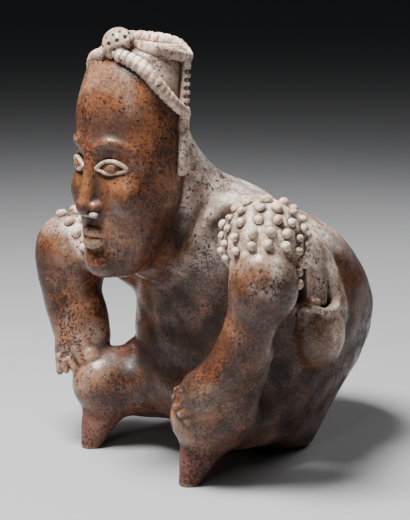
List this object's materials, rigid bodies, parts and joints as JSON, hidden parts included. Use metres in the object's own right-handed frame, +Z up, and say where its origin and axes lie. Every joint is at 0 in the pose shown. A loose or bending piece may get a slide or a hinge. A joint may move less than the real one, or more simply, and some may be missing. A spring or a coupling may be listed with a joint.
{
  "type": "jalisco hunchback figure",
  "caption": "Squatting earthenware hunchback with hands on the knees, a knotted braid headband, pelleted shoulders and a small bag at the left hip.",
  "frame": {"origin": "on the ground under the middle of the figure's bounding box", "axes": "+Z up, the figure faces -Y, and its left side is +X"},
  "size_m": [0.279, 0.3032, 0.3712],
  "materials": {
    "earthenware": "burnished red-brown slip with black speckles, cream and buff on the headgear, shoulders and bag"
  },
  "bodies": {
    "root": {"hunchback_figure": "earthenware"}
  },
  "joints": []
}
